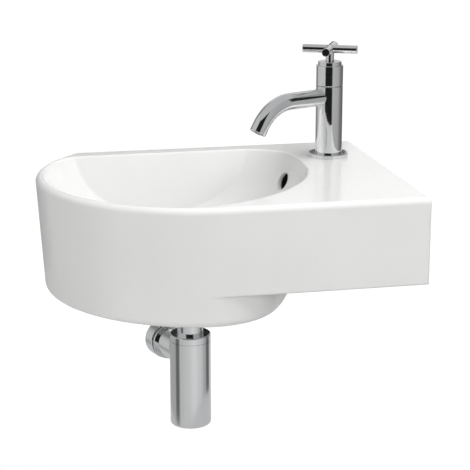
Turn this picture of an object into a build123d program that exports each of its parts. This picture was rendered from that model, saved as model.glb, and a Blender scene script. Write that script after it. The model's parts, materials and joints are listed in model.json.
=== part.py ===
from build123d import *
from math import cos, pi, radians, sin, sqrt
import os

# Wall-hung hand basin with a pillar tap and a bottle trap, in millimetres.
# The origin lies on the wall face, midway between the two wall fixings.
# +X runs along the wall towards the tap, -Y points out of the wall, +Z is up.

# Basin outline: a round end on the left and front, a square tap shelf on the right
bowl_radius = 188.0
bowl_set_back = 132.0
shelf_reach = 237.0
bowl_floor_height = 27.0
shelf_height = 101.0
rim_above_fixings = 78.0
front_corner_radius = 4.0
rim_edge_radius = 7.0
rim_inner_radius = 2.5
bowl_base_radius = 8.0
round_end_lean = 8.3
wall = 11.0
shelf_slab = 14.0

# Lower bowl jacket, which hangs below the shelf
jacket_flatness = 80.0
jacket_short_of_hollow = 30.0
jacket_blend_radius = 90.0

# Hollow of the bowl, shaped by three circles seen from above and a sloped flat back
rim_width = 10.0
hollow_depth = 110.0
hollow_short_of_tap = 40.8
spill_side_back = 24.6
spill_side_radius = 205.0
hollow_back_x = -25.4
hollow_back_y = -5.5
hollow_back_radius = 422.0
panel_ledge = 21.5
panel_slope_degrees = 14.5
bowl_shell = 10.0
side_draft_share = 0.22
back_draft_share = 0.24
hollow_profile_shares = (1.0, 0.985, 0.95, 0.89, 0.81, 0.71, 0.60, 0.50, 0.42)
hollow_curve_power = 2.57
side_corner_power = 30.0
back_corner_power = 26.6
outline_points = 32

# Overflow hole, square to the bowl's wall, and the duct cast behind it
overflow_radius = 11.5
overflow_back = 60.0
overflow_drop = 33.3
overflow_inset = 13.0
overflow_turn_degrees = 12.0
overflow_tilt_degrees = 20.0
overflow_lead = 10.0
overflow_depth = 20.0
duct_start_depth = 14.0
duct_upper_inset = 16.5
duct_upper_forward = 9.0
duct_upper_rise = 38.0
duct_lower_share = 0.69
duct_lower_sink = 11.0
duct_exit_sink = 14.0
duct_radius = 6.0
duct_wall = 5.0
duct_bend_radius = 12.0

# Waste hole
waste_x = -5.5
waste_forward = 3.0
waste_hole_radius = 23.0
waste_boss_radius = 46.0

# Wall fixings
fixing_spacing = 160.0
fixing_hole_radius = 7.0
bolt_radius = 4.0
bolt_wall_length = 60.0
bolt_inside_length = 30.0
bolt_point_length = 8.0
bolt_point_degrees = 25.0
bolt_neck_radius = 3.4
bolt_neck_start = 1.0
bolt_neck_end = 2.0
sleeve_flange_radius = 11.0
sleeve_flange = 2.0
fixing_washer_radius = 12.0
fixing_washer = 1.6
fixing_nut_flats = 13.0
fixing_nut = 6.5

# Tap
tap_from_end = 54.7
tap_from_wall = 82.0
tap_hole_radius = 17.5
tap_radius = 16.8
tap_flange_radius = 24.5
tap_flange = 5.0
tap_joint_height = 89.4
tap_joint_gap = 0.3
tap_sleeve_length = 25.6
tap_cap_radius = 14.7
tap_cap_length = 4.5
tap_edge_radius = 0.8
sleeve_wall = 3.4
sleeve_web_rise = 11.5
tail_radius = 10.475
tail_bore_radius = 6.0
tail_socket = 12.0
tail_below_slab = 38.0
tail_neck_radius = 9.8
tail_neck_rise = 22.0
tail_neck = 3.0
base_seal_radius = 20.5
base_seal_width = 2.5
base_seal = 2.0
tap_seat_fall = 36.5
tap_seat_radius = 5.0
tap_chamber_floor_fall = 33.5
tap_chamber_radius = 11.0
tap_chamber_top_fall = 11.5

# Spout
spout_angle_degrees = 24.0
spout_fall = 13.9
spout_radius = 10.4
spout_bore_radius = 8.2
spout_straight_reach = 61.0
spout_bend_radius = 53.0
spout_bend_degrees = 58.0
spout_end_run = 10.0
spout_root = 12.2
spout_port_radius = 6.5
aerator_radius = 9.2
aerator_length = 9.0
aerator_recess = 0.6
aerator_ring_wall = 1.4
aerator_lip = 0.8
aerator_step = 2.0
aerator_insert = 4.0
insert_hole_radius = 0.8
insert_hole_pitch = 2.6

# Headwork inside the tap
headwork_seat_seal = 2.0
headwork_body_radius = 8.6
headwork_bore_radius = 6.6
headwork_thread_radius = 10.0
headwork_hex_flats = 17.0
headwork_hex_height = 9.0
headwork_neck_radius = 7.0
headwork_neck_fall = 3.5
window_width = 6.0
window_height = 8.0
disc_thickness = 3.0
disc_port_radius = 1.8
disc_port_offset = 3.4
spindle_radius = 3.9
spindle_flats = 6.2
spindle_flats_length = 10.0
spindle_foot_radius = 6.4
spindle_foot = 2.5
spindle_rise = 17.6
spindle_ring_width = 1.3
spindle_ring = 2.0
spindle_ring_shares = (0.35, 0.65)

# Cross handle
handle_turn_degrees = -24.5
handle_rise = 15.1
handle_reach = 34.0
handle_arm_radius = 5.1
handle_core_reach = 8.0
handle_stem_radius = 5.2
handle_stem_gap = 0.6
handle_stem_start = 2.0
arm_stud_radius = 2.0
arm_stud_length = 3.0
arm_edge_radius = 0.7
handle_screw_radius = 2.0
handle_screw_length = 8.0
handle_screw_head_radius = 3.0
handle_screw_head = 2.5
handle_screw_key = 2.5
handle_screw_rise = 3.0
handle_cap_radius = 3.6
handle_cap = 1.2
handle_cap_sink = 0.3

# Tap fastening under the shelf
tap_rubber_radius = 19.0
tap_rubber = 3.0
tap_washer = 1.5
tap_nut_flats = 30.0
tap_nut = 8.0

# Waste fitting
waste_flange_radius = 32.0
waste_flange = 2.5
waste_edge_radius = 0.8
waste_flange_recess = 2.5
waste_top_seal = 1.5
waste_tube_radius = 20.95
waste_bore_radius = 18.5
waste_tube_length = 52.0
waste_slot_width = 9.0
waste_slot_height = 16.0
waste_slot_sink = 16.0
bridge_sink = 40.0
bridge_height = 5.0
bridge_arm_width = 5.0
bridge_hub_radius = 8.0
bridge_thread_radius = 5.5
waste_seal = 5.0
waste_seal_radius = 29.0
waste_nut_flats = 56.0
waste_nut = 9.0

# Push-down plug
plug_radius = 27.0
plug_edge = 2.2
plug_dome = 1.6
plug_lift = 8.0
plug_travel = 7.0
plug_neck_radius = 8.0
plug_neck = 10.0
plug_seal_radius = 24.0
plug_seal_width = 3.0
plug_socket = 6.0
plug_stop_gap = 1.5
cartridge_collar_radius = 7.0
cartridge_collar = 2.0
cartridge_bore_radius = 3.6
cartridge_floor = 3.0
plunger_radius = 2.2
plunger_head_radius = 3.4
plunger_head = 2.0
guide_radius = 2.3
spring_wire_radius = 0.35
spring_radius = 2.85
spring_turns = 7
guide_length = 3.0

# Bottle trap
trap_radius = 25.3
trap_wall = 2.0
trap_neck = 32.0
trap_cap_length = 9.0
trap_length = 118.0
trap_joint_gap = 0.4
trap_base_edge_radius = 3.0
trap_cap_edge_radius = 1.2
trap_thread_depth = 10.0
trap_thread_wall = 2.0
inlet_tube_radius = 16.0
inlet_tube_wall = 1.2
inlet_tube_above_base = 34.0
inlet_collar_radius = 20.5
inlet_collar = 2.0
union_radius = 26.0
union_length = 16.0
union_lip = 2.5
union_seal = 2.0
tube_seal_width = 2.4
tube_seal = 3.0
tube_seal_sink = 3.0
cap_ring_width = 1.2
cap_ring = 2.0
cap_ring_sink = 3.0

# Trap outlet, turned towards the left as in the photo
outlet_angle_degrees = 18.0
outlet_below_cap = 28.2
branch_radius = 18.9
branch_blend_radius = 9.0
branch_end = 66.0
branch_water_radius = 16.9
branch_socket_start = 30.0
branch_bore_radius = 16.15
outlet_collar_radius = 22.2
outlet_collar_start = 54.5
outlet_collar = 2.6
outlet_nut_radius = 23.4
outlet_nut_start = 60.0
outlet_nut_lip = 4.0
outlet_nut_hole_radius = 17.0
outlet_nut_edge_radius = 1.5
outlet_seal = 6.0
outlet_ring = 2.0

# Clearances
running_gap = 0.06
seat_gap = 0.1
soft_gap = 0.3
overrun = 3.0

# Places worked out from the sizes
basin_depth = bowl_set_back + bowl_radius
bowl_height = hollow_depth + bowl_floor_height
rim_z = rim_above_fixings
shelf_under_z = rim_z - shelf_height
base_z = rim_z - bowl_height
bowl_y = -bowl_set_back
floor_z = rim_z - hollow_depth
hollow_span = hollow_depth / (1 - hollow_profile_shares[-1] ** hollow_curve_power) ** (1 / hollow_curve_power)
tap_x = shelf_reach - tap_from_end
tap_y = -tap_from_wall
tap_centre = (tap_x, tap_y)
spill_x = tap_x - hollow_short_of_tap
spill_side_x = spill_x - spill_side_radius
spill_side_y = bowl_y + spill_side_back
jacket_side_radius = bowl_radius + jacket_flatness
jacket_side_x = spill_x - jacket_short_of_hollow - jacket_side_radius
skirt_lean = round_end_lean * shelf_height / bowl_height
waste_y = bowl_y - waste_forward
waste_centre = (waste_x, waste_y)
waste_seat_z = floor_z - waste_flange_recess
waste_flange_z = waste_seat_z + waste_top_seal
waste_end_z = waste_seat_z - waste_tube_length
plug_under_z = waste_flange_z + waste_flange + plug_lift
bridge_z = floor_z - bridge_sink
tap_joint_z = rim_z + tap_joint_height
shoulder_z = tap_joint_z + tap_sleeve_length
cap_top_z = shoulder_z + tap_cap_length
web_z = tap_joint_z + sleeve_web_rise
neck_top_z = shoulder_z - headwork_neck_fall
seat_z = tap_joint_z - tap_seat_fall
headwork_z = seat_z + headwork_seat_seal
chamber_floor_z = tap_joint_z - tap_chamber_floor_fall
chamber_top_z = tap_joint_z - tap_chamber_top_fall
spout_z = tap_joint_z - spout_fall
spindle_top_z = neck_top_z + spindle_rise
stem_bottom_z = neck_top_z + handle_stem_start
handle_z = cap_top_z + handle_rise
screw_seat_z = spindle_top_z + handle_screw_rise
handle_cap_top_z = handle_z + handle_arm_radius - handle_cap_sink

os.makedirs("parts", exist_ok=True)


def save(part, name):
    """Label a finished piece and write it to its own file."""
    part.label = name
    export_step(part, "parts/" + name + ".step")


def plan_face(inset, lean):
    """D-shaped outline of the basin seen from above, moved inwards by inset, its round end by lean."""
    radius = bowl_radius - inset
    back_left_x = lean - sqrt(radius ** 2 - (inset + bowl_y) ** 2)
    with BuildSketch() as plan:
        with BuildLine():
            ThreePointArc((back_left_x, -inset), (lean - radius, bowl_y), (lean, bowl_y - radius))
            Polyline(
                (lean, bowl_y - radius),
                (shelf_reach - inset, bowl_y - radius),
                (shelf_reach - inset, -inset),
                (back_left_x, -inset),
            )
        make_face()
        fillet(plan.vertices().group_by(Axis.X)[-1].sort_by(Axis.Y)[0], front_corner_radius)
    return plan.sketch


def jacket_face(inset, lean):
    """Outline of the lower bowl, moved inwards by inset, its round end by lean."""
    with BuildSketch() as jacket:
        with Locations((jacket_side_x, bowl_y)):
            Circle(jacket_side_radius - inset)
            Rectangle(2 * (jacket_side_radius - inset), -bowl_y - inset, align=(Align.CENTER, Align.MIN))
        with Locations((lean, bowl_y)):
            Circle(bowl_radius - inset, mode=Mode.INTERSECT)
        with Locations((0, -inset)):
            Rectangle(2 * bowl_radius, 2 * basin_depth, align=(Align.CENTER, Align.MAX), mode=Mode.INTERSECT)
        fillet(jacket.vertices().sort_by(Axis.Y)[0], jacket_blend_radius)
    return jacket.sketch


def reach_to_circle(angle, centre_x, centre_y, radius):
    """Distance from the waste, in the direction of angle, to a circle around it."""
    along = (centre_x - waste_x) * cos(angle) + (centre_y - waste_y) * sin(angle)
    offset = (centre_x - waste_x) ** 2 + (centre_y - waste_y) ** 2
    return along + sqrt(along ** 2 - offset + radius ** 2)


def soft_least(first, second, power):
    """The smaller of two reaches, rounded where they are alike."""
    return (first ** -power + second ** -power) ** (-1 / power)


def hollow_points(level_share, depth, growth):
    """Points around the bowl's hollow at one depth, grown outwards by growth."""
    side_share = level_share * (1 - side_draft_share * depth / hollow_depth)
    back_share = level_share * (1 - back_draft_share * depth / hollow_depth)
    back_centre_y = hollow_back_y - hollow_back_radius
    points = []
    for index in range(outline_points):
        angle = 2 * pi * index / outline_points
        left = reach_to_circle(angle, 0, bowl_y, bowl_radius - rim_width + growth)
        right = reach_to_circle(angle, spill_side_x, spill_side_y, spill_side_radius + growth)
        back = reach_to_circle(angle, hollow_back_x, back_centre_y, hollow_back_radius + growth)
        side = soft_least(left, right, side_corner_power) * side_share
        reach = soft_least(side, back * back_share, back_corner_power)
        points.append((waste_x + reach * cos(angle), waste_y + reach * sin(angle)))
    return points


def hollow_form(growth):
    """Solid that fills the bowl's hollow, grown outwards by growth, with its flat sloped back."""
    with BuildPart() as form:
        for share in hollow_profile_shares:
            sink = (1 - share ** hollow_curve_power) ** (1 / hollow_curve_power)
            with BuildSketch(Plane.XY.offset(rim_z - sink * (hollow_span + growth))):
                with BuildLine():
                    Spline(*hollow_points(share, sink * hollow_span, growth), periodic=True)
                make_face()
        loft()
        panel = Plane(
            origin=(0, growth - panel_ledge, rim_z),
            x_dir=(1, 0, 0),
            z_dir=(0, -cos(radians(panel_slope_degrees)), sin(radians(panel_slope_degrees))),
        )
        split(bisect_by=panel, keep=Keep.TOP)
    return form.part


def ring(centre, bottom, top, outer, inner):
    """Upright ring or tube around a centre seen from above."""
    with BuildPart() as piece:
        with BuildSketch(Plane((*centre, bottom))):
            Circle(outer)
            Circle(inner, mode=Mode.SUBTRACT)
        extrude(amount=top - bottom)
    return piece.part


def rod(centre, bottom, top, radius):
    """Upright cylinder around a centre seen from above."""
    with BuildPart() as piece:
        with BuildSketch(Plane((*centre, bottom))):
            Circle(radius)
        extrude(amount=top - bottom)
    return piece.part


def nut(centre, bottom, top, flats, bore):
    """Upright hexagon nut around a centre seen from above."""
    with BuildPart() as piece:
        with BuildSketch(Plane((*centre, bottom))):
            RegularPolygon(flats / 2, 6, major_radius=False)
            Circle(bore, mode=Mode.SUBTRACT)
        extrude(amount=top - bottom)
    return piece.part


def lying_rod(plane, start, end, radius):
    """Cylinder along the normal of a plane."""
    with BuildPart() as piece:
        with BuildSketch(plane.offset(start)):
            Circle(radius)
        extrude(amount=end - start)
    return piece.part


def fixing_rings(start, length, outer, inner):
    """Two rings on the wall fixings, from a depth behind the wall face outwards."""
    with BuildPart() as piece:
        with BuildSketch(Plane(origin=(0, -start, 0), x_dir=(1, 0, 0), z_dir=(0, -1, 0))):
            with GridLocations(fixing_spacing, 0, 2, 1):
                Circle(outer)
                Circle(inner, mode=Mode.SUBTRACT)
        extrude(amount=length)
    return piece.part


hollow_shell = hollow_form(bowl_shell)
bowl_hollow = hollow_form(0)

# Overflow hole and duct
overflow_level = cos(radians(overflow_tilt_degrees))
overflow_mouth = Plane(
    origin=(spill_x - overflow_inset, bowl_y + overflow_back, rim_z - overflow_drop),
    z_dir=(
        overflow_level * cos(radians(overflow_turn_degrees)),
        overflow_level * sin(radians(overflow_turn_degrees)),
        -sin(radians(overflow_tilt_degrees)),
    ),
)
duct_upper = (
    spill_x - duct_upper_inset,
    overflow_mouth.origin.Y - duct_upper_forward,
    floor_z + duct_upper_rise,
)

with BuildPart() as overflow_bore:
    with BuildLine() as duct_path:
        FilletPolyline(
            overflow_mouth.offset(duct_start_depth).origin,
            duct_upper,
            (
                waste_x + duct_lower_share * (duct_upper[0] - waste_x),
                waste_y + duct_lower_share * (duct_upper[1] - waste_y),
                floor_z - duct_lower_sink,
            ),
            (*waste_centre, floor_z - duct_exit_sink),
            radius=duct_bend_radius,
        )
    duct_start = Plane(duct_path.line @ 0, z_dir=duct_path.line % 0)
    with BuildSketch(duct_start):
        Circle(duct_radius)
    sweep()
    add(lying_rod(overflow_mouth, -overflow_lead, overflow_depth, overflow_radius))

with BuildPart() as overflow_duct:
    with BuildSketch(duct_start):
        Circle(duct_radius + duct_wall)
    sweep(path=duct_path.line)
    add(lying_rod(overflow_mouth, 0, overflow_depth + duct_wall, overflow_radius + duct_wall))

# Glazed ceramic basin, open underneath so that its fastenings can be reached
with BuildPart() as underside:
    with BuildSketch(Plane.XY.offset(shelf_under_z)):
        add(plan_face(wall, 0))
        add(jacket_face(0, skirt_lean), mode=Mode.SUBTRACT)
    extrude(amount=shelf_height - shelf_slab)
    with BuildSketch(Plane.XY.offset(base_z - overrun)):
        add(jacket_face(wall, round_end_lean))
    extrude(amount=bowl_height + overrun - shelf_slab)
    add(hollow_shell, mode=Mode.SUBTRACT)
    add(overflow_duct.part, mode=Mode.SUBTRACT)
    add(rod(waste_centre, base_z, floor_z, waste_boss_radius), mode=Mode.SUBTRACT)

with BuildPart() as basin:
    with BuildSketch(Plane.XY.offset(shelf_under_z)):
        add(plan_face(0, skirt_lean))
    with BuildSketch(Plane.XY.offset(rim_z)):
        add(plan_face(0, 0))
    loft(ruled=True)
    with BuildSketch(Plane.XY.offset(base_z)):
        add(jacket_face(0, round_end_lean))
    with BuildSketch(Plane.XY.offset(shelf_under_z)):
        add(jacket_face(0, skirt_lean))
    loft(ruled=True)
    top_edges = basin.faces().sort_by(Axis.Z)[-1].edges()
    fillet(top_edges.sort_by(Axis.Y)[:-1], rim_edge_radius)
    base_edges = basin.faces().sort_by(Axis.Z)[0].edges()
    fillet(base_edges.sort_by(Axis.Y)[:-1], bowl_base_radius)
    add(underside.part, mode=Mode.SUBTRACT)
    add(bowl_hollow, mode=Mode.SUBTRACT)
    fillet(basin.faces().sort_by(Axis.Z)[-1].inner_wires()[0].edges(), rim_inner_radius)
    add(overflow_bore.part, mode=Mode.SUBTRACT)
    add(rod(tap_centre, rim_z - shelf_slab - overrun, rim_z + overrun, tap_hole_radius), mode=Mode.SUBTRACT)
    add(rod(waste_centre, waste_seat_z, floor_z + overrun, waste_flange_radius + soft_gap), mode=Mode.SUBTRACT)
    add(rod(waste_centre, base_z - overrun, floor_z, waste_hole_radius), mode=Mode.SUBTRACT)
    with BuildSketch(Plane(origin=(0, overrun, 0), x_dir=(1, 0, 0), z_dir=(0, -1, 0))):
        with GridLocations(fixing_spacing, 0, 2, 1):
            Circle(fixing_hole_radius)
    extrude(amount=wall + 2 * overrun, mode=Mode.SUBTRACT)
save(basin.part, "basin")

# Wall fixings
with BuildPart() as hanger_bolts:
    with BuildSketch(Plane(origin=(0, -bolt_inside_length, 0), x_dir=(1, 0, 0), z_dir=(0, 1, 0))):
        with GridLocations(fixing_spacing, 0, 2, 1):
            Circle(bolt_radius)
    extrude(amount=bolt_inside_length + bolt_wall_length - bolt_point_length)
    bolt_tips = hanger_bolts.faces().group_by(Axis.Y)[-1]
    extrude(bolt_tips, amount=bolt_point_length, taper=bolt_point_degrees)
    add(
        fixing_rings(-bolt_neck_end, bolt_neck_start + bolt_neck_end, bolt_radius + seat_gap, bolt_neck_radius),
        mode=Mode.SUBTRACT,
    )
save(hanger_bolts.part, "hanger_bolts")

with BuildPart() as fixing_sleeves:
    add(fixing_rings(0, wall, fixing_hole_radius - seat_gap, bolt_radius + seat_gap))
    add(fixing_rings(wall, sleeve_flange, sleeve_flange_radius, bolt_radius + seat_gap))
save(fixing_sleeves.part, "fixing_sleeves")

washer_start = wall + sleeve_flange
save(fixing_rings(washer_start, fixing_washer, fixing_washer_radius, bolt_radius + seat_gap), "fixing_washers")

with BuildPart() as fixing_nuts:
    nut_y = -washer_start - fixing_washer
    with BuildSketch(Plane(origin=(0, nut_y, 0), x_dir=(1, 0, 0), z_dir=(0, -1, 0))):
        with GridLocations(fixing_spacing, 0, 2, 1):
            RegularPolygon(fixing_nut_flats / 2, 6, major_radius=False)
            Circle(bolt_radius + seat_gap, mode=Mode.SUBTRACT)
    extrude(amount=fixing_nut)
save(fixing_nuts.part, "fixing_nuts")

# Tap foot
flange_top_z = rim_z + tap_flange
with BuildPart() as tap_flange_ring:
    add(ring(tap_centre, rim_z, flange_top_z, tap_flange_radius, tail_radius + seat_gap))
    fillet(tap_flange_ring.edges().group_by(Axis.Z)[-1].sort_by(Axis.Y)[0], tap_edge_radius)
    groove_inner = base_seal_radius - base_seal_width - seat_gap
    add(
        ring(tap_centre, rim_z, rim_z + base_seal, base_seal_radius + seat_gap, groove_inner),
        mode=Mode.SUBTRACT,
    )
save(tap_flange_ring.part, "tap_flange")
save(
    ring(tap_centre, rim_z, rim_z + base_seal, base_seal_radius, base_seal_radius - base_seal_width),
    "tap_base_seal",
)

socket_top_z = flange_top_z + tail_socket
tail_end_z = rim_z - shelf_slab - tail_below_slab
tail_neck_z = tail_end_z + tail_neck_rise
with BuildPart() as tap_tail:
    add(ring(tap_centre, tail_end_z, socket_top_z, tail_radius, tail_bore_radius))
    add(ring(tap_centre, tail_neck_z, tail_neck_z + tail_neck, tail_radius + seat_gap, tail_neck_radius), mode=Mode.SUBTRACT)
save(tap_tail.part, "tap_tail")

# Spout, bent downwards towards the bowl
spout_x_share = -cos(radians(spout_angle_degrees))
spout_y_share = -sin(radians(spout_angle_degrees))
spout_side = Plane(
    origin=(*tap_centre, spout_z), x_dir=(spout_x_share, spout_y_share, 0), z_dir=(spout_y_share, -spout_x_share, 0)
)
spout_axis = Plane(origin=(*tap_centre, spout_z), z_dir=(spout_x_share, spout_y_share, 0))

with BuildPart() as spout_tube:
    with BuildLine(spout_side) as spout_path:
        Line((spout_root, 0), (spout_straight_reach, 0))
        bend = JernArc((spout_straight_reach, 0), (1, 0), spout_bend_radius, -spout_bend_degrees)
        Line(bend @ 1, bend @ 1 + bend % 1 * spout_end_run)
    spout_start = spout_axis.offset(spout_root)
    with BuildSketch(spout_start):
        Circle(spout_radius)
    sweep()
    with BuildSketch(spout_start):
        Circle(spout_bore_radius)
    sweep(path=spout_path.line, mode=Mode.SUBTRACT)
    spout_mouth = Plane(spout_path.line @ 1, z_dir=spout_path.line % 1 * -1)
    add(lying_rod(spout_mouth, 0, aerator_length + aerator_recess, aerator_radius), mode=Mode.SUBTRACT)
save(spout_tube.part, "spout_tube")

with BuildPart() as aerator_ring:
    add(lying_rod(spout_mouth, aerator_recess, aerator_recess + aerator_length, aerator_radius - seat_gap))
    ring_bore = aerator_radius - seat_gap - aerator_ring_wall
    add(lying_rod(spout_mouth, 0, aerator_length + overrun, ring_bore - aerator_lip), mode=Mode.SUBTRACT)
    insert_start = aerator_recess + aerator_step
    add(lying_rod(spout_mouth, insert_start, aerator_length + overrun, ring_bore), mode=Mode.SUBTRACT)
save(aerator_ring.part, "aerator_ring")

with BuildPart() as aerator_insert_disc:
    with BuildSketch(spout_mouth.offset(insert_start)):
        Circle(ring_bore - seat_gap)
        Circle(insert_hole_radius, mode=Mode.SUBTRACT)
        for row in (1, 2):
            with PolarLocations(row * insert_hole_pitch, 6 * row):
                Circle(insert_hole_radius, mode=Mode.SUBTRACT)
    extrude(amount=aerator_insert)
save(aerator_insert_disc.part, "aerator_insert")

# Tap body with its tail socket, waterway, valve chamber and spout socket
with BuildPart() as tap_body:
    add(rod(tap_centre, flange_top_z, tap_joint_z, tap_radius))
    fillet(tap_body.edges().group_by(Axis.Z)[-1], tap_edge_radius)
    add(rod(tap_centre, flange_top_z, socket_top_z, tail_radius + seat_gap), mode=Mode.SUBTRACT)
    add(rod(tap_centre, socket_top_z, chamber_floor_z, tap_seat_radius), mode=Mode.SUBTRACT)
    nose_radius = headwork_body_radius + seat_gap
    add(rod(tap_centre, seat_z, chamber_floor_z, nose_radius), mode=Mode.SUBTRACT)
    add(rod(tap_centre, chamber_floor_z, chamber_top_z, tap_chamber_radius), mode=Mode.SUBTRACT)
    add(rod(tap_centre, chamber_top_z, tap_joint_z, headwork_thread_radius + seat_gap), mode=Mode.SUBTRACT)
    add(lying_rod(spout_axis, 0, spout_root, spout_port_radius), mode=Mode.SUBTRACT)
    add(lying_rod(spout_axis, spout_root, tap_radius + overrun, spout_radius + seat_gap), mode=Mode.SUBTRACT)
save(tap_body.part, "tap_body")

with BuildPart() as tap_sleeve:
    add(rod(tap_centre, tap_joint_z + tap_joint_gap, shoulder_z, tap_radius))
    fillet(tap_sleeve.edges(), tap_edge_radius)
    add(rod(tap_centre, shoulder_z, cap_top_z, tap_cap_radius))
    fillet(tap_sleeve.edges().group_by(Axis.Z)[-1], tap_edge_radius)
    add(rod(tap_centre, tap_joint_z, web_z, tap_radius - sleeve_wall), mode=Mode.SUBTRACT)
    add(
        rod(tap_centre, web_z, neck_top_z, headwork_neck_radius + seat_gap),
        mode=Mode.SUBTRACT,
    )
    stem_hole_radius = handle_stem_radius + handle_stem_gap
    add(
        rod(tap_centre, neck_top_z, cap_top_z, stem_hole_radius),
        mode=Mode.SUBTRACT,
    )
save(tap_sleeve.part, "tap_sleeve")

# Quarter-turn valve inside the tap
disc_z = headwork_z + disc_thickness + running_gap
foot_z = disc_z + disc_thickness
foot_top_z = foot_z + spindle_foot
save(
    ring(tap_centre, seat_z, headwork_z, headwork_body_radius, tap_seat_radius),
    "headwork_seat_seal",
)

with BuildPart() as headwork_body:
    add(rod(tap_centre, headwork_z, chamber_top_z, headwork_body_radius))
    add(rod(tap_centre, chamber_top_z, tap_joint_z, headwork_thread_radius))
    hex_top_z = tap_joint_z + headwork_hex_height
    add(rod(tap_centre, hex_top_z, neck_top_z, headwork_neck_radius))
    with BuildSketch(Plane((*tap_centre, tap_joint_z))):
        RegularPolygon(headwork_hex_flats / 2, 6, major_radius=False)
    extrude(amount=headwork_hex_height)
    add(rod(tap_centre, headwork_z, foot_top_z + seat_gap, headwork_bore_radius), mode=Mode.SUBTRACT)
    add(
        rod(tap_centre, headwork_z, neck_top_z, spindle_radius + running_gap),
        mode=Mode.SUBTRACT,
    )
    with BuildSketch(Plane((*tap_centre, headwork_z))):
        Rectangle(2 * tap_chamber_radius, window_width)
    extrude(amount=window_height, mode=Mode.SUBTRACT)
save(headwork_body.part, "headwork_body")

with BuildPart() as fixed_disc:
    with BuildSketch(Plane((*tap_centre, headwork_z))):
        Circle(headwork_body_radius)
        Rectangle(2 * headwork_body_radius, window_width - 2 * seat_gap, mode=Mode.INTERSECT)
        Circle(headwork_bore_radius - seat_gap)
        with GridLocations(2 * disc_port_offset, 0, 2, 1):
            Circle(disc_port_radius, mode=Mode.SUBTRACT)
    extrude(amount=disc_thickness)
save(fixed_disc.part, "fixed_disc")

with BuildPart() as moving_disc:
    with BuildSketch(Plane((*tap_centre, disc_z))):
        Circle(spindle_foot_radius)
        with PolarLocations(disc_port_offset, 2, start_angle=90):
            Circle(disc_port_radius, mode=Mode.SUBTRACT)
            Rectangle(
                spindle_foot_radius, 2 * disc_port_radius, align=(Align.MIN, Align.CENTER), mode=Mode.SUBTRACT
            )
    extrude(amount=disc_thickness)
save(moving_disc.part, "moving_disc")

neck_length = neck_top_z - tap_joint_z
with BuildPart() as spindle:
    add(rod(tap_centre, foot_z, foot_top_z, spindle_foot_radius))
    add(rod(tap_centre, foot_top_z, spindle_top_z - spindle_flats_length, spindle_radius))
    with BuildSketch(Plane((*tap_centre, spindle_top_z - spindle_flats_length))):
        Circle(spindle_radius)
        Rectangle(spindle_flats, 2 * spindle_radius, mode=Mode.INTERSECT)
    extrude(amount=spindle_flats_length)
    screw_bottom_z = screw_seat_z - handle_screw_length
    add(rod(tap_centre, screw_bottom_z - seat_gap, spindle_top_z, handle_screw_radius + seat_gap), mode=Mode.SUBTRACT)
    for share in spindle_ring_shares:
        groove_z = tap_joint_z + share * neck_length
        add(
            ring(tap_centre, groove_z, groove_z + spindle_ring, spindle_radius, spindle_radius - spindle_ring_width),
            mode=Mode.SUBTRACT,
        )
save(spindle.part, "spindle")

with BuildPart() as spindle_rings:
    for share in spindle_ring_shares:
        groove_z = tap_joint_z + share * neck_length
        add(ring(tap_centre, groove_z, groove_z + spindle_ring, spindle_radius, spindle_radius - spindle_ring_width))
save(spindle_rings.part, "spindle_rings")

# Cross handle
arm_angles = [handle_turn_degrees + 90 * index for index in range(4)]
arm_planes = [
    Plane(origin=(*tap_centre, handle_z), z_dir=(cos(radians(angle)), sin(radians(angle)), 0)) for angle in arm_angles
]

with BuildPart() as handle_hub:
    for plane in arm_planes:
        add(lying_rod(plane, 0, handle_core_reach, handle_arm_radius))
    add(rod(tap_centre, stem_bottom_z, handle_z, handle_stem_radius))
    with BuildSketch(Plane((*tap_centre, stem_bottom_z))):
        Circle(spindle_radius + seat_gap)
    extrude(amount=spindle_top_z - spindle_flats_length - stem_bottom_z, mode=Mode.SUBTRACT)
    with BuildSketch(Plane((*tap_centre, spindle_top_z - spindle_flats_length))):
        Circle(spindle_radius + seat_gap)
        Rectangle(spindle_flats + 2 * seat_gap, 2 * spindle_radius + overrun, mode=Mode.INTERSECT)
    extrude(amount=spindle_flats_length, mode=Mode.SUBTRACT)
    hub_top_z = handle_z + handle_arm_radius + overrun
    add(rod(tap_centre, spindle_top_z, hub_top_z, handle_screw_radius + seat_gap), mode=Mode.SUBTRACT)
    add(rod(tap_centre, screw_seat_z, hub_top_z, handle_screw_head_radius + seat_gap), mode=Mode.SUBTRACT)
    cap_bottom_z = handle_cap_top_z - handle_cap
    add(rod(tap_centre, cap_bottom_z, hub_top_z, handle_cap_radius + seat_gap), mode=Mode.SUBTRACT)
    for plane in arm_planes:
        socket_start = handle_core_reach - arm_stud_length - seat_gap
        add(lying_rod(plane, socket_start, handle_core_reach, arm_stud_radius + seat_gap), mode=Mode.SUBTRACT)
save(handle_hub.part, "handle_hub")

with BuildPart() as handle_arms:
    for plane in arm_planes:
        add(lying_rod(plane, handle_core_reach, handle_reach, handle_arm_radius))
        add(lying_rod(plane, handle_core_reach - arm_stud_length, handle_core_reach, arm_stud_radius))
    outer_ends = handle_arms.faces().filter_by(GeomType.PLANE).sort_by_distance((*tap_centre, handle_z))[-4:]
    fillet(outer_ends.edges(), arm_edge_radius)
save(handle_arms.part, "handle_arms")

with BuildPart() as handle_screw:
    add(rod(tap_centre, screw_bottom_z, screw_seat_z, handle_screw_radius))
    add(rod(tap_centre, screw_seat_z, screw_seat_z + handle_screw_head, handle_screw_head_radius))
    with BuildSketch(Plane((*tap_centre, screw_seat_z + handle_screw_head / 2))):
        RegularPolygon(handle_screw_key / 2, 6, major_radius=False)
    extrude(amount=handle_screw_head / 2, mode=Mode.SUBTRACT)
save(handle_screw.part, "handle_screw")
save(rod(tap_centre, cap_bottom_z, handle_cap_top_z, handle_cap_radius), "handle_cap")

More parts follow.
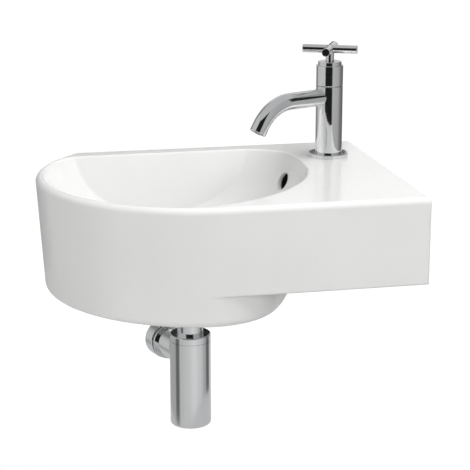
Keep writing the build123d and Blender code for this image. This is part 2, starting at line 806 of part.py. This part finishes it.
# Tap fastening under the shelf
slab_under_z = rim_z - shelf_slab
rubber_under_z = slab_under_z - tap_rubber
washer_under_z = rubber_under_z - tap_washer
save(
    ring(tap_centre, rubber_under_z, slab_under_z, tap_rubber_radius, tail_radius + soft_gap),
    "tap_rubber_washer",
)
save(
    ring(tap_centre, washer_under_z, rubber_under_z, tap_rubber_radius, tail_radius + soft_gap),
    "tap_steel_washer",
)
save(nut(tap_centre, washer_under_z - tap_nut, washer_under_z, tap_nut_flats, tail_radius + seat_gap), "tap_backnut")

# Waste fitting in the bottom of the bowl
with BuildPart() as waste_body:
    flange_top = waste_flange_z + waste_flange
    add(rod(waste_centre, waste_flange_z, flange_top, waste_flange_radius))
    fillet(waste_body.edges().group_by(Axis.Z)[-1], waste_edge_radius)
    add(rod(waste_centre, waste_end_z, waste_flange_z, waste_tube_radius))
    add(rod(waste_centre, waste_end_z, flange_top, waste_bore_radius), mode=Mode.SUBTRACT)
    with BuildSketch(Plane((*waste_centre, floor_z - waste_slot_sink - waste_slot_height / 2))):
        Rectangle(2 * waste_hole_radius, waste_slot_width)
        Rectangle(waste_slot_width, 2 * waste_hole_radius)
    extrude(amount=waste_slot_height, mode=Mode.SUBTRACT)
    with BuildSketch(Plane((*waste_centre, bridge_z - bridge_height))):
        Rectangle(waste_bore_radius + waste_tube_radius, bridge_arm_width)
        Rectangle(bridge_arm_width, waste_bore_radius + waste_tube_radius)
        Circle(bridge_hub_radius)
        Circle(bridge_thread_radius + seat_gap, mode=Mode.SUBTRACT)
    extrude(amount=bridge_height)
save(waste_body.part, "waste_body")
save(
    ring(waste_centre, waste_seat_z, waste_flange_z, waste_flange_radius, waste_hole_radius),
    "waste_top_seal",
)
under_seal_z = base_z - waste_seal
save(
    ring(waste_centre, under_seal_z, base_z, waste_seal_radius, waste_tube_radius + soft_gap),
    "waste_under_seal",
)
save(
    nut(waste_centre, under_seal_z - waste_nut, under_seal_z, waste_nut_flats, waste_tube_radius + seat_gap),
    "waste_backnut",
)

# Push-down plug on its spring cartridge
plug_neck_z = plug_under_z - plug_neck
cartridge_z = bridge_z - bridge_height
cartridge_top_z = plug_neck_z - plug_travel - plug_stop_gap
guide_z = cartridge_top_z - guide_length
plunger_z = guide_z - plunger_head
plug_side = Plane(origin=(*waste_centre, plug_under_z), x_dir=(1, 0, 0), z_dir=(0, -1, 0))
with BuildPart() as plug_cap:
    with BuildSketch(plug_side):
        with BuildLine():
            Polyline((0, plug_edge + plug_dome), (0, 0), (plug_radius, 0), (plug_radius, plug_edge))
            TangentArc((0, plug_edge + plug_dome), (plug_radius, plug_edge), tangent=(1, 0))
        make_face()
    revolve(axis=Axis((*waste_centre, 0), (0, 0, 1)))
    add(rod(waste_centre, plug_neck_z, plug_under_z, plug_neck_radius))
    add(rod(waste_centre, plug_neck_z, plug_neck_z + plug_socket, plunger_radius + seat_gap), mode=Mode.SUBTRACT)
save(plug_cap.part, "plug_cap")
save(
    ring(
        waste_centre,
        plug_under_z - plug_lift + plug_travel + seat_gap,
        plug_under_z,
        plug_seal_radius,
        plug_seal_radius - plug_seal_width,
    ),
    "plug_seal",
)

with BuildPart() as plug_plunger:
    add(rod(waste_centre, plunger_z, guide_z, plunger_head_radius))
    add(rod(waste_centre, guide_z, plug_neck_z + plug_socket, plunger_radius))
save(plug_plunger.part, "plug_plunger")

with BuildPart() as cartridge_body:
    add(rod(waste_centre, cartridge_z, cartridge_top_z, bridge_thread_radius))
    add(rod(waste_centre, bridge_z, bridge_z + cartridge_collar, cartridge_collar_radius))
    add(rod(waste_centre, cartridge_z + cartridge_floor, guide_z, cartridge_bore_radius), mode=Mode.SUBTRACT)
    add(rod(waste_centre, guide_z, cartridge_top_z, guide_radius), mode=Mode.SUBTRACT)
save(cartridge_body.part, "cartridge_body")

spring_low_z = cartridge_z + cartridge_floor + spring_wire_radius
spring_rise = plunger_z - spring_wire_radius - spring_low_z
with BuildPart() as cartridge_spring:
    with BuildLine() as coil:
        Helix(spring_rise / spring_turns, spring_rise, spring_radius, center=(*waste_centre, spring_low_z))
    with BuildSketch(Plane(coil.line @ 0, z_dir=coil.line % 0)):
        Circle(spring_wire_radius)
    sweep(is_frenet=True)
save(cartridge_spring.part, "cartridge_spring")

# Union and inlet tube of the trap
union_seal_z = waste_end_z - union_seal
collar_under_z = union_seal_z - inlet_collar
union_end_z = collar_under_z - union_lip
trap_cap_z = union_end_z - trap_neck
trap_joint_z = trap_cap_z - trap_cap_length
trap_base_z = trap_cap_z - trap_length
tube_end_z = trap_base_z + inlet_tube_above_base
save(
    ring(waste_centre, union_seal_z, waste_end_z, inlet_collar_radius, inlet_tube_radius - inlet_tube_wall),
    "union_seal",
)

with BuildPart() as inlet_tube:
    add(rod(waste_centre, tube_end_z, union_seal_z, inlet_tube_radius))
    add(rod(waste_centre, collar_under_z, union_seal_z, inlet_collar_radius))
    add(rod(waste_centre, tube_end_z, union_seal_z, inlet_tube_radius - inlet_tube_wall), mode=Mode.SUBTRACT)
save(inlet_tube.part, "inlet_tube")

with BuildPart() as union_nut:
    add(rod(waste_centre, union_end_z, union_end_z + union_length, union_radius))
    fillet(union_nut.edges(), tap_edge_radius)
    add(
        rod(waste_centre, collar_under_z, union_end_z + union_length, waste_tube_radius + seat_gap),
        mode=Mode.SUBTRACT,
    )
    add(rod(waste_centre, union_end_z, collar_under_z, inlet_tube_radius + soft_gap), mode=Mode.SUBTRACT)
save(union_nut.part, "union_nut")

# Bottle trap
trap_bore_radius = trap_radius - trap_wall
skirt_radius = trap_bore_radius - seat_gap
skirt_end_z = trap_joint_z - trap_thread_depth
tube_seal_z = trap_cap_z - tube_seal_sink
cap_ring_z = trap_joint_z - cap_ring_sink
with BuildPart() as trap_cap:
    add(rod(waste_centre, trap_joint_z + trap_joint_gap, trap_cap_z, trap_radius))
    fillet(trap_cap.edges().group_by(Axis.Z)[-1], trap_cap_edge_radius)
    add(rod(waste_centre, skirt_end_z, trap_joint_z + trap_joint_gap, skirt_radius))
    add(rod(waste_centre, skirt_end_z, trap_joint_z, skirt_radius - trap_thread_wall), mode=Mode.SUBTRACT)
    add(
        rod(waste_centre, skirt_end_z, trap_cap_z, inlet_tube_radius + seat_gap),
        mode=Mode.SUBTRACT,
    )
    add(
        rod(waste_centre, tube_seal_z - tube_seal, tube_seal_z, inlet_tube_radius + tube_seal_width),
        mode=Mode.SUBTRACT,
    )
    add(
        ring(waste_centre, cap_ring_z - cap_ring, cap_ring_z, skirt_radius, skirt_radius - cap_ring_width),
        mode=Mode.SUBTRACT,
    )
save(trap_cap.part, "trap_cap")
save(
    ring(
        waste_centre,
        tube_seal_z - tube_seal,
        tube_seal_z,
        inlet_tube_radius + tube_seal_width,
        inlet_tube_radius + seat_gap,
    ),
    "tube_seal",
)
save(
    ring(waste_centre, cap_ring_z - cap_ring, cap_ring_z, skirt_radius, skirt_radius - cap_ring_width),
    "cap_ring",
)

outlet_angle = radians(outlet_angle_degrees)
outlet_axis = Plane(
    origin=(*waste_centre, trap_cap_z - outlet_below_cap), x_dir=(0, 0, 1), z_dir=(-sin(outlet_angle), cos(outlet_angle), 0)
)
with BuildPart() as trap_body:
    add(rod(waste_centre, trap_base_z, trap_joint_z + branch_radius, trap_radius))
    fillet(trap_body.edges().group_by(Axis.Z)[0], trap_base_edge_radius)
    add(lying_rod(outlet_axis, 0, branch_end, branch_radius))
    junction = trap_body.edges().filter_by(lambda edge: edge.geom_type not in (GeomType.LINE, GeomType.CIRCLE))
    fillet(junction, branch_blend_radius)
    add(
        rod(waste_centre, trap_joint_z, trap_joint_z + branch_radius + overrun, 2 * trap_radius),
        mode=Mode.SUBTRACT,
    )
    add(lying_rod(outlet_axis, outlet_collar_start, outlet_collar_start + outlet_collar, outlet_collar_radius))
    add(rod(waste_centre, trap_base_z + trap_wall, trap_joint_z, trap_bore_radius), mode=Mode.SUBTRACT)
    add(lying_rod(outlet_axis, 0, branch_socket_start, branch_water_radius), mode=Mode.SUBTRACT)
    add(lying_rod(outlet_axis, branch_socket_start, branch_end, branch_bore_radius), mode=Mode.SUBTRACT)
save(trap_body.part, "trap_body")

seal_end = branch_end + outlet_seal
ring_end = seal_end + outlet_ring
nut_end = ring_end + outlet_nut_lip
with BuildPart() as outlet_nut:
    add(lying_rod(outlet_axis, outlet_nut_start, nut_end, outlet_nut_radius))
    fillet(outlet_nut.edges().filter_by(GeomType.CIRCLE), outlet_nut_edge_radius)
    add(lying_rod(outlet_axis, outlet_nut_start, ring_end, branch_radius + seat_gap), mode=Mode.SUBTRACT)
    add(lying_rod(outlet_axis, ring_end, nut_end, outlet_nut_hole_radius), mode=Mode.SUBTRACT)
save(outlet_nut.part, "outlet_nut")

with BuildPart() as outlet_seal_ring:
    add(lying_rod(outlet_axis, branch_end, seal_end, branch_radius))
    add(lying_rod(outlet_axis, branch_end, seal_end, branch_bore_radius), mode=Mode.SUBTRACT)
save(outlet_seal_ring.part, "outlet_seal")

with BuildPart() as outlet_slip_ring:
    add(lying_rod(outlet_axis, seal_end, ring_end, branch_radius))
    add(lying_rod(outlet_axis, seal_end, ring_end, branch_bore_radius), mode=Mode.SUBTRACT)
save(outlet_slip_ring.part, "outlet_ring")
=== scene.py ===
import json
from math import cos, pi, radians, sin

import bpy
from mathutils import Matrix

# Wall-hung hand basin: looks, studio and camera. Metres, same frame as the CAD model.
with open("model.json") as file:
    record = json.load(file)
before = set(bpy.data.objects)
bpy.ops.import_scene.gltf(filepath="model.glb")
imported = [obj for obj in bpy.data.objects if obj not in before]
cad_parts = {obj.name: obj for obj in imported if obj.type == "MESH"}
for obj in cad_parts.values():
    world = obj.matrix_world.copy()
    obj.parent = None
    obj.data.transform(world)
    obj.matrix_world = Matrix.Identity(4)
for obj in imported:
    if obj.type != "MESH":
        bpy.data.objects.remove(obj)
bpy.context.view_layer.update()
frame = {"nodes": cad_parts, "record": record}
nodes = frame["nodes"]

# Overflow hole in the bowl's wall; painted shade darkens the glaze inside its passage
overflow_mouth = (0.1285, -0.072, 0.0447)
overflow_axis = (0.919, 0.195, -0.342)
overflow_lip = 0.001
overflow_fade = 0.003
overflow_reach = 0.013
overflow_depth = 0.04
# painted shade: near-black colour for the inside of the overflow passage, where little light reaches
overflow_shade_tone = (0.02, 0.02, 0.02, 1)

# Surface textures
noise_low = 0.3
noise_high = 0.7
glaze_relief = 0.0005
glaze_edge_radius = 0.003
glaze_edge_samples = 4
fine_relief = 0.0002

# Floor
floor_level = -0.78
floor_reach = 15
floor_tone = 0.6
glow_start = 0.5
glow_end = 2.0
glow_near = 0.5
glow_far = 0.8

# Round studio around the object, seen only in the reflections of the chrome and the glaze
studio_centre = (0.08, -0.1, 0)
studio_radius = 1.4
wall_steps = 120
lid_steps = 60
wall_joint = -0.45
lid_level = 1.5
base_level = -0.77
lid_tone = 0.55
base_tone = 0.58
card_tone = 0.02
upper_tones = [
    (-176, 0.75), (-162, 0.3), (-142, 0.25), (-126, 0.6), (-54, 0.62), (-44, 0.015),
    (10, 0.015), (18, 0.5), (60, 0.45), (98, 0.2), (130, 0.12), (148, 0.7),
]
lower_tones = [
    (-178, 0.45), (-104, 0.42), (-92, 0.15), (-80, 0.15), (-68, 0.55), (-30, 0.62), (10, 0.75),
    (40, 0.66), (80, 0.42), (94, 0.15), (112, 0.15), (124, 0.6),
]

# World, lamps and camera
world_light = 0.4
lamp_target = (0, -0.16, 0)
camera_place = (-0.3222, -1.8688, 0.4799)
camera_fall_degrees = 15.25
camera_turn_degrees = -12.15
camera_lens = 115.43
camera_sensor = 36


def new_material(name):
    """Node material with only its Principled shader and output."""
    material = bpy.data.materials.new(name)
    material.use_nodes = True
    tree = material.node_tree
    return material, tree, tree.nodes["Principled BSDF"]


def feed(tree, value, socket):
    """Gives a socket a fixed value, or links it to the output of another node."""
    if isinstance(value, bpy.types.NodeSocket):
        tree.links.new(value, socket)
    else:
        socket.default_value = value


def add_math(tree, operation, first, second):
    """Maths node on two values, each a number or an output."""
    node = tree.nodes.new("ShaderNodeMath")
    node.operation = operation
    feed(tree, first, node.inputs[0])
    feed(tree, second, node.inputs[1])
    return node.outputs["Value"]


def add_vector_math(tree, operation, first, second):
    """Vector node of two vectors, each a constant or an output."""
    node = tree.nodes.new("ShaderNodeVectorMath")
    node.operation = operation
    feed(tree, first, node.inputs[0])
    feed(tree, second, node.inputs[1])
    return node.outputs


def object_place(tree):
    """Place of a surface point in the object's own coordinates."""
    return tree.nodes.new("ShaderNodeTexCoord").outputs["Object"]


def add_noise(tree, scale, detail, stretch=(1, 1, 1)):
    """Noise in object coordinates, with its own scale along each axis."""
    mapping = tree.nodes.new("ShaderNodeMapping")
    mapping.inputs["Scale"].default_value = stretch
    noise = tree.nodes.new("ShaderNodeTexNoise")
    noise.inputs["Scale"].default_value = scale
    noise.inputs["Detail"].default_value = detail
    tree.links.new(object_place(tree), mapping.inputs["Vector"])
    tree.links.new(mapping.outputs["Vector"], noise.inputs["Vector"])
    return noise.outputs["Fac"]


def add_range(tree, source, source_low, source_high, low, high):
    """Maps one range of a value to another."""
    node = tree.nodes.new("ShaderNodeMapRange")
    node.inputs["From Min"].default_value = source_low
    node.inputs["From Max"].default_value = source_high
    node.inputs["To Min"].default_value = low
    node.inputs["To Max"].default_value = high
    tree.links.new(source, node.inputs["Value"])
    return node.outputs["Result"]


def add_colours(tree, source, first, second):
    """Blends two colours by a noise value."""
    ramp = tree.nodes.new("ShaderNodeValToRGB")
    ramp.color_ramp.elements[0].position = noise_low
    ramp.color_ramp.elements[0].color = (*first, 1)
    ramp.color_ramp.elements[1].position = noise_high
    ramp.color_ramp.elements[1].color = (*second, 1)
    tree.links.new(source, ramp.inputs["Fac"])
    return ramp.outputs["Color"]


def set_roughness(tree, shader, source, low, high):
    """Roughness between two values, by a noise value."""
    roughness = add_range(tree, source, noise_low, noise_high, low, high)
    tree.links.new(roughness, shader.inputs["Roughness"])


def add_bump(tree, shader, source, strength, distance):
    """Bump from a height value."""
    bump = tree.nodes.new("ShaderNodeBump")
    bump.inputs["Strength"].default_value = strength
    bump.inputs["Distance"].default_value = distance
    tree.links.new(source, bump.inputs["Height"])
    tree.links.new(bump.outputs["Normal"], shader.inputs["Normal"])
    return bump


def overflow_shade_mask(tree):
    """1 on the walls of the overflow passage, 0 elsewhere, from its axis in the basin's wall; it places
    the painted shade there.
    """
    offset = add_vector_math(tree, "SUBTRACT", object_place(tree), overflow_mouth)["Vector"]
    along = add_vector_math(tree, "DOT_PRODUCT", offset, overflow_axis)["Value"]
    foot = tree.nodes.new("ShaderNodeVectorMath")
    foot.operation = "SCALE"
    foot.inputs[0].default_value = overflow_axis
    tree.links.new(along, foot.inputs["Scale"])
    away = add_vector_math(tree, "DISTANCE", offset, foot.outputs["Vector"])["Value"]
    deep = add_range(tree, along, overflow_lip, overflow_fade, 0, 1)
    near = add_math(tree, "LESS_THAN", away, overflow_reach)
    short = add_math(tree, "LESS_THAN", along, overflow_depth)
    return add_math(tree, "MULTIPLY", deep, add_math(tree, "MULTIPLY", near, short))


def glaze():
    """White vitreous glaze: faint waviness, a slight change of colour, gloss, and painted shade inside
    the overflow passage.
    """
    material, tree, shader = new_material("white_glaze")
    cloud = add_noise(tree, scale=9, detail=3)
    colour = add_colours(tree, cloud, (0.835, 0.835, 0.825), (0.865, 0.865, 0.857))
    blend = tree.nodes.new("ShaderNodeMix")
    blend.data_type = "RGBA"
    colours_in = [socket for socket in blend.inputs if socket.type == "RGBA"]
    colours_out = [socket for socket in blend.outputs if socket.type == "RGBA"]
    # painted shade: the glaze turns near-black inside the overflow passage
    tree.links.new(overflow_shade_mask(tree), blend.inputs["Factor"])
    tree.links.new(colour, colours_in[0])
    colours_in[1].default_value = overflow_shade_tone
    tree.links.new(colours_out[0], shader.inputs["Base Color"])
    orange_peel = add_noise(tree, scale=160, detail=2)
    set_roughness(tree, shader, orange_peel, low=0.1, high=0.2)
    wave = add_noise(tree, scale=22, detail=1)
    soft_edge = tree.nodes.new("ShaderNodeBevel")
    soft_edge.samples = glaze_edge_samples
    soft_edge.inputs["Radius"].default_value = glaze_edge_radius
    bump = add_bump(tree, shader, wave, strength=0.1, distance=glaze_relief)
    tree.links.new(soft_edge.outputs["Normal"], bump.inputs["Normal"])
    shader.inputs["Specular IOR Level"].default_value = 0.4
    shader.inputs["IOR"].default_value = 1.5
    return material


def chrome():
    """Polished chrome plate with faint wipe marks."""
    material, tree, shader = new_material("polished_chrome")
    shader.inputs["Metallic"].default_value = 1
    smear = add_noise(tree, scale=35, detail=4, stretch=(1, 1, 0.3))
    colour = add_colours(tree, smear, (0.74, 0.745, 0.76), (0.8, 0.805, 0.81))
    tree.links.new(colour, shader.inputs["Base Color"])
    set_roughness(tree, shader, smear, low=0.04, high=0.1)
    ripple = add_noise(tree, scale=60, detail=1)
    add_bump(tree, shader, ripple, strength=0.05, distance=fine_relief)
    return material


def turned_metal(name, first, second, low, high):
    """Machined metal with fine turning lines around a vertical axis."""
    material, tree, shader = new_material(name)
    shader.inputs["Metallic"].default_value = 1
    stain = add_noise(tree, scale=45, detail=5)
    tree.links.new(add_colours(tree, stain, first, second), shader.inputs["Base Color"])
    lines = add_noise(tree, scale=40, detail=2, stretch=(1, 1, 40))
    set_roughness(tree, shader, lines, low, high)
    add_bump(tree, shader, lines, strength=0.25, distance=fine_relief)
    return material


def moulded(name, first, second, low, high, grain):
    """Moulded rubber, plastic or fired ceramic with a fine grain."""
    material, tree, shader = new_material(name)
    cloud = add_noise(tree, scale=30, detail=3)
    tree.links.new(add_colours(tree, cloud, first, second), shader.inputs["Base Color"])
    fine = add_noise(tree, scale=900, detail=2)
    set_roughness(tree, shader, fine, low, high)
    add_bump(tree, shader, fine, grain, fine_relief)
    return material


materials = {
    "glazed_ceramic": glaze(),
    "chrome": chrome(),
    "brass": turned_metal("turned_brass", (0.6, 0.43, 0.17), (0.7, 0.53, 0.25), 0.2, 0.38),
    "steel": turned_metal("zinc_steel", (0.48, 0.49, 0.5), (0.6, 0.6, 0.6), 0.25, 0.45),
    "rubber": moulded("black_rubber", (0.018, 0.018, 0.018), (0.035, 0.034, 0.033), 0.55, 0.8, 0.3),
    "white_plastic": moulded("white_nylon", (0.72, 0.72, 0.7), (0.8, 0.8, 0.78), 0.35, 0.5, 0.15),
    "disc_ceramic": moulded("alumina_disc", (0.78, 0.76, 0.7), (0.84, 0.82, 0.77), 0.12, 0.25, 0.05),
}
for entry in frame["record"]["subparts"]:
    node = nodes[entry["node"]]
    node.data.materials.clear()
    node.data.materials.append(materials[entry["material_slot"]])


def seen_direct(tree):
    """1 for the camera and for rays from mirrors and glass, 0 for the light on the object."""
    rays = tree.nodes.new("ShaderNodeLightPath")
    mirrored = add_math(tree, "MAXIMUM", rays.outputs["Is Camera Ray"], rays.outputs["Is Glossy Ray"])
    return add_math(tree, "MAXIMUM", mirrored, rays.outputs["Is Transmission Ray"])


def floor_material():
    """Plain white floor; its glow grows away from the object, where the lamps don't reach."""
    material, tree, shader = new_material("pale_floor")
    shader.inputs["Base Color"].default_value = (floor_tone, floor_tone, floor_tone, 1)
    shader.inputs["Roughness"].default_value = 0.9
    shader.inputs["Specular IOR Level"].default_value = 0
    shader.inputs["Emission Color"].default_value = (1, 1, 1, 1)
    away = tree.nodes.new("ShaderNodeVectorMath")
    away.operation = "LENGTH"
    tree.links.new(object_place(tree), away.inputs[0])
    glow = add_range(tree, away.outputs["Value"], glow_start, glow_end, glow_near, glow_far)
    strength = add_math(tree, "MULTIPLY", seen_direct(tree), glow)
    tree.links.new(strength, shader.inputs["Emission Strength"])
    return material


def stage_item(name, corners, faces, material, centre):
    """Piece of the stage from its corners and faces."""
    mesh = bpy.data.meshes.new(name)
    mesh.from_pydata(corners, [], faces)
    mesh.materials.append(material)
    item = bpy.data.objects.new(name, mesh)
    item.location = centre
    bpy.context.scene.collection.objects.link(item)
    return item


def only_reflected(item):
    """The item shows in mirrors alone, as a card beside the camera's view does."""
    item.visible_camera = False
    item.visible_diffuse = False
    item.visible_shadow = False
    item.visible_transmission = False


def tone_material(name, tones):
    """Emission by the direction around the object; tones are pairs of degrees and lightness."""
    material, tree, shader = new_material(name)
    shader.inputs["Base Color"].default_value = (0, 0, 0, 1)
    shader.inputs["Specular IOR Level"].default_value = 0
    shader.inputs["Emission Strength"].default_value = 1
    axes = tree.nodes.new("ShaderNodeSeparateXYZ")
    tree.links.new(object_place(tree), axes.inputs["Vector"])
    forward = add_math(tree, "MULTIPLY", axes.outputs["Y"], -1)
    turn = add_math(tree, "ARCTAN2", axes.outputs["X"], forward)
    shade = tree.nodes.new("ShaderNodeValToRGB")
    shade.color_ramp.interpolation = "EASE"
    stops = shade.color_ramp.elements
    while len(stops) < len(tones):
        stops.new(0.5)
    for stop, (degrees, value) in zip(stops, tones):
        stop.position = degrees / 360 + 0.5
        stop.color = (value, value, value, 1)
    tree.links.new(add_range(tree, turn, -pi, pi, 0, 1), shade.inputs["Fac"])
    tree.links.new(shade.outputs["Color"], shader.inputs["Emission Color"])
    return material


def even_material(name, tone):
    """Emission of one lightness in all directions."""
    return tone_material(name, [(-90, tone), (90, tone)])


def ring_point(step, steps, height):
    """Point on the studio's round wall."""
    angle = 2 * pi * step / steps
    return (studio_radius * sin(angle), -studio_radius * cos(angle), height)


def studio_wall(name, low, high, tones):
    """Upright band around the object."""
    corners = []
    faces = []
    for step in range(wall_steps):
        corners.append(ring_point(step, wall_steps, low))
        corners.append(ring_point(step, wall_steps, high))
        after = (step + 1) % wall_steps
        faces.append((2 * step, 2 * after, 2 * after + 1, 2 * step + 1))
    only_reflected(stage_item(name, corners, faces, tone_material(name, tones), studio_centre))


def studio_card(name, centre, half_width, low, high, turn_degrees):
    """Upright dark card."""
    corners = [(-half_width, 0, low), (half_width, 0, low), (half_width, 0, high), (-half_width, 0, high)]
    card = stage_item(name, corners, [(0, 1, 2, 3)], even_material(name, card_tone), centre)
    card.rotation_euler = (0, 0, radians(turn_degrees))
    only_reflected(card)


def studio_disc(name, level, tone):
    """Level disc that closes the studio at its top or its foot."""
    rim = [ring_point(step, lid_steps, level) for step in range(lid_steps)]
    disc = stage_item(name, rim, [tuple(range(lid_steps))], even_material(name, tone), studio_centre)
    only_reflected(disc)


floor_corners = [
    (-floor_reach, -floor_reach, 0),
    (floor_reach, -floor_reach, 0),
    (floor_reach, floor_reach, 0),
    (-floor_reach, floor_reach, 0),
]
stage_item("floor", floor_corners, [(0, 1, 2, 3)], floor_material(), (0, 0, floor_level))
studio_wall("upper_wall", wall_joint, lid_level, upper_tones)
studio_wall("lower_wall", floor_level, wall_joint, lower_tones)
studio_card("dark_card", (0.43, -0.25, 0), half_width=0.045, low=0.19, high=0.42, turn_degrees=62)
studio_card("back_card", (0.28, 1.19, 0), half_width=0.3, low=0.1, high=0.38, turn_degrees=0)
studio_disc("studio_lid", lid_level, lid_tone)
studio_disc("studio_base", base_level, base_tone)

world = bpy.data.worlds.new("studio")
world.use_nodes = True
bpy.context.scene.world = world
background = world.node_tree.nodes["Background"]
background.inputs["Color"].default_value = (1, 1, 1, 1)
world_strength = add_range(world.node_tree, seen_direct(world.node_tree), 0, 1, world_light, 1)
world.node_tree.links.new(world_strength, background.inputs["Strength"])


def area_light(name, centre, size, power):
    """Soft rectangular lamp that faces the object."""
    data = bpy.data.lights.new(name, "AREA")
    data.shape = "RECTANGLE"
    data.size = size[0]
    data.size_y = size[1]
    data.energy = power
    item = bpy.data.objects.new(name, data)
    item.location = centre
    direction = item.location.copy()
    direction.x = lamp_target[0] - centre[0]
    direction.y = lamp_target[1] - centre[1]
    direction.z = lamp_target[2] - centre[2]
    item.rotation_euler = direction.to_track_quat("-Z", "Y").to_euler()
    item.visible_glossy = False
    bpy.context.scene.collection.objects.link(item)


area_light("top_light", (0.5, -0.5, 1.6), size=(1.6, 1.2), power=24)
area_light("front_light", (1.0, -2.2, 0.6), size=(1.0, 1.0), power=13)
area_light("left_light", (-1.8, -1.2, -0.3), size=(1.0, 0.8), power=10)

camera_data = bpy.data.cameras.new("photo_camera")
camera_data.sensor_width = camera_sensor
camera_data.lens = camera_lens
camera = bpy.data.objects.new("photo_camera", camera_data)
camera.location = camera_place
camera.rotation_euler = (radians(90 - camera_fall_degrees), 0, radians(camera_turn_degrees))
bpy.context.scene.collection.objects.link(camera)
bpy.context.scene.camera = camera
bpy.context.scene.view_settings.view_transform = "Standard"
